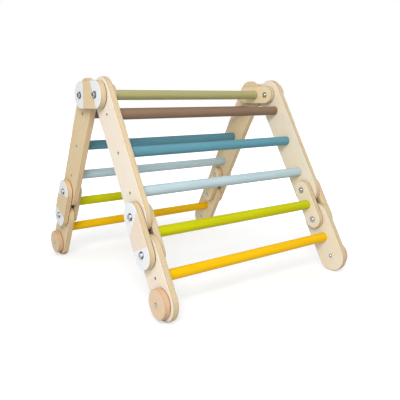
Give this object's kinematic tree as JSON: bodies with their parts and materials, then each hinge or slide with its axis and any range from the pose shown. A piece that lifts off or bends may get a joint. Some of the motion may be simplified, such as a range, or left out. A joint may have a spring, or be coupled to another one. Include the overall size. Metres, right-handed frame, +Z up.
{
  "type": "folding climbing triangle",
  "caption": "Folding wooden climbing triangle for small children: two hinged ladders of coloured rungs between round-ended plywood boards.",
  "frame": {"origin": "on the floor under the middle of the top rung, at the bottom centre of the bounding box", "axes": "+X along the rungs from the left to the right side, +Y from the front ladder to the rear ladder, +Z up"},
  "size_m": [0.7118, 0.814, 0.6169],
  "materials": {
    "plywood": "clear lacquered birch plywood",
    "plywood_white_ends": "birch plywood, clear middle and white painted ends",
    "foot_plywood": "clear lacquered birch plywood",
    "olive_paint": "satin paint on beech",
    "brown_paint": "satin paint on beech",
    "dark_blue_paint": "satin paint on beech",
    "light_blue_paint": "satin paint on beech",
    "green_paint": "satin paint on beech",
    "yellow_paint": "satin paint on beech",
    "black_steel": "black oxide",
    "zinc_steel": "bright zinc plated"
  },
  "bodies": {
    "apex_link": {"apex_inner_plate_left": "plywood", "apex_inner_plate_right": "plywood", "apex_outer_plate_left": "plywood_white_ends", "apex_outer_plate_right": "plywood_white_ends", "apex_pivot_bolts": "zinc_steel", "apex_pivot_nuts": "zinc_steel", "apex_rung_olive": "olive_paint", "apex_rung_screws": "black_steel", "apex_washers": "zinc_steel"},
    "front_upper_ladder": {"front_upper_rung_brown": "brown_paint", "front_upper_rung_dark_blue": "dark_blue_paint", "front_upper_rung_light_blue": "light_blue_paint", "front_upper_rung_screws": "black_steel", "front_upper_side_left": "plywood", "front_upper_side_right": "plywood"},
    "front_knee_link": {"front_knee_inner_plate_left": "plywood", "front_knee_inner_plate_right": "plywood", "front_knee_outer_plate_left": "plywood_white_ends", "front_knee_outer_plate_right": "plywood_white_ends", "front_knee_pivot_bolts": "zinc_steel", "front_knee_pivot_nuts": "zinc_steel", "front_knee_rung_green": "green_paint", "front_knee_rung_screws": "black_steel", "front_knee_washers": "zinc_steel"},
    "front_lower_ladder": {"front_lower_foot_bolts": "zinc_steel", "front_lower_foot_disc_left": "foot_plywood", "front_lower_foot_disc_right": "foot_plywood", "front_lower_foot_nuts": "zinc_steel", "front_lower_rung_screws": "black_steel", "front_lower_rung_yellow": "yellow_paint", "front_lower_side_left": "plywood", "front_lower_side_right": "plywood"},
    "rear_upper_ladder": {"rear_upper_rung_brown": "brown_paint", "rear_upper_rung_dark_blue": "dark_blue_paint", "rear_upper_rung_light_blue": "light_blue_paint", "rear_upper_rung_screws": "black_steel", "rear_upper_side_left": "plywood", "rear_upper_side_right": "plywood"},
    "rear_knee_link": {"rear_knee_inner_plate_left": "plywood", "rear_knee_inner_plate_right": "plywood", "rear_knee_outer_plate_left": "plywood_white_ends", "rear_knee_outer_plate_right": "plywood_white_ends", "rear_knee_pivot_bolts": "zinc_steel", "rear_knee_pivot_nuts": "zinc_steel", "rear_knee_rung_green": "green_paint", "rear_knee_rung_screws": "black_steel", "rear_knee_washers": "zinc_steel"},
    "rear_lower_ladder": {"rear_lower_foot_bolts": "zinc_steel", "rear_lower_foot_disc_left": "foot_plywood", "rear_lower_foot_disc_right": "foot_plywood", "rear_lower_foot_nuts": "zinc_steel", "rear_lower_rung_screws": "black_steel", "rear_lower_rung_yellow": "yellow_paint", "rear_lower_side_left": "plywood", "rear_lower_side_right": "plywood"}
  },
  "joints": [
    {"name": "front_apex_hinge", "type": "hinge", "parent": "apex_link", "child": "front_upper_ladder", "pos_m": [0, -0.0525, 0.56698], "axis": [1, 0, 0], "range_deg": [-59.5, 30.5]},
    {"name": "front_upper_knee_hinge", "type": "hinge", "parent": "front_upper_ladder", "child": "front_knee_link", "pos_m": [0, -0.23775, 0.25248], "axis": [-1, 0, 0], "range_deg": [-90, 90]},
    {"name": "front_lower_knee_hinge", "type": "hinge", "parent": "front_knee_link", "child": "front_lower_ladder", "pos_m": [0, -0.29104, 0.16201], "axis": [-1, 0, 0], "range_deg": [-90, 90]},
    {"name": "rear_apex_hinge", "type": "hinge", "parent": "apex_link", "child": "rear_upper_ladder", "pos_m": [0, 0.0525, 0.56698], "axis": [-1, 0, 0], "range_deg": [-59.5, 30.5]},
    {"name": "rear_upper_knee_hinge", "type": "hinge", "parent": "rear_upper_ladder", "child": "rear_knee_link", "pos_m": [0, 0.23775, 0.25248], "axis": [1, 0, 0], "range_deg": [-90, 90]},
    {"name": "rear_lower_knee_hinge", "type": "hinge", "parent": "rear_knee_link", "child": "rear_lower_ladder", "pos_m": [0, 0.29104, 0.16201], "axis": [1, 0, 0], "range_deg": [-90, 90]}
  ]
}
